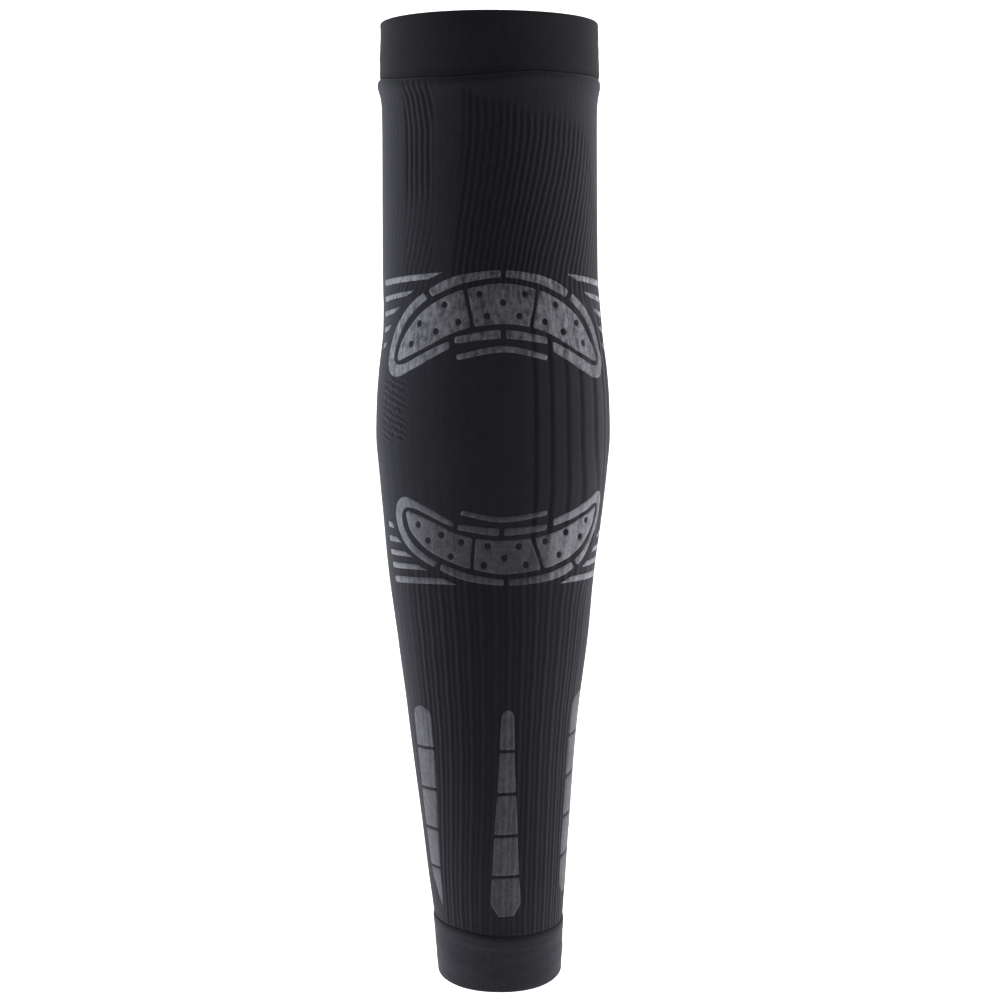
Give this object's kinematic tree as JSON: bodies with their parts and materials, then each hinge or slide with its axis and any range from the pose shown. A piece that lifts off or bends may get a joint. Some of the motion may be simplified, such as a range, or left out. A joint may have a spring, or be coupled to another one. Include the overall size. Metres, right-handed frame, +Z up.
{
  "type": "arm compression sleeve",
  "caption": "Ribbed knitted compression sleeve for a slightly bent arm, open from end to end, with folded cuffs and raised grey grip zones round the elbow and down the forearm.",
  "frame": {"origin": "on the arm's axis at the middle of the elbow, where the worn sleeve sits", "axes": "+Z up along the axis of the upper arm towards the top rim, -Y towards the viewer on the side with the grey zones, +X to the viewer's right; the forearm leans towards +Y below the elbow"},
  "size_m": [0.098, 0.1027, 0.4081],
  "materials": {
    "black_knit": "matte ribbed nylon and elastane knit, near black",
    "cuff_knit": "smooth folded elastic knit, near black",
    "grey_zone": "matte grey zones knitted and printed over the ribs"
  },
  "bodies": {
    "root": {"sleeve_body": "black_knit", "upper_cuff": "cuff_knit", "wrist_cuff": "cuff_knit", "upper_panel_middle": "grey_zone", "upper_panel_left": "grey_zone", "upper_panel_right": "grey_zone", "upper_strip": "grey_zone", "upper_rim_left": "grey_zone", "upper_rim_right": "grey_zone", "upper_band_left": "grey_zone", "upper_band_right": "grey_zone", "upper_loop_left": "grey_zone", "upper_loop_right": "grey_zone", "upper_stripe_left_1": "grey_zone", "upper_stripe_left_2": "grey_zone", "upper_stripe_left_3": "grey_zone", "upper_stripe_left_4": "grey_zone", "upper_stripe_left_5": "grey_zone", "upper_stripe_right_1": "grey_zone", "upper_stripe_right_2": "grey_zone", "upper_stripe_right_3": "grey_zone", "upper_stripe_right_4": "grey_zone", "upper_stripe_right_5": "grey_zone", "lower_panel_middle": "grey_zone", "lower_panel_left": "grey_zone", "lower_panel_right": "grey_zone", "lower_strip": "grey_zone", "lower_rim_left": "grey_zone", "lower_rim_right": "grey_zone", "lower_band_left": "grey_zone", "lower_band_right": "grey_zone", "lower_loop_left": "grey_zone", "lower_loop_right": "grey_zone", "lower_stripe_left_1": "grey_zone", "lower_stripe_left_2": "grey_zone", "lower_stripe_left_3": "grey_zone", "lower_stripe_left_4": "grey_zone", "lower_stripe_left_5": "grey_zone", "lower_stripe_right_1": "grey_zone", "lower_stripe_right_2": "grey_zone", "lower_stripe_right_3": "grey_zone", "lower_stripe_right_4": "grey_zone", "lower_stripe_right_5": "grey_zone", "bar_left_1": "grey_zone", "bar_left_2": "grey_zone", "bar_left_3": "grey_zone", "bar_left_4": "grey_zone", "bar_left_5": "grey_zone", "bar_middle_1": "grey_zone", "bar_middle_2": "grey_zone", "bar_middle_3": "grey_zone", "bar_middle_4": "grey_zone", "bar_middle_5": "grey_zone", "bar_right_1": "grey_zone", "bar_right_2": "grey_zone", "bar_right_3": "grey_zone", "bar_right_4": "grey_zone", "bar_right_5": "grey_zone"}
  },
  "joints": []
}
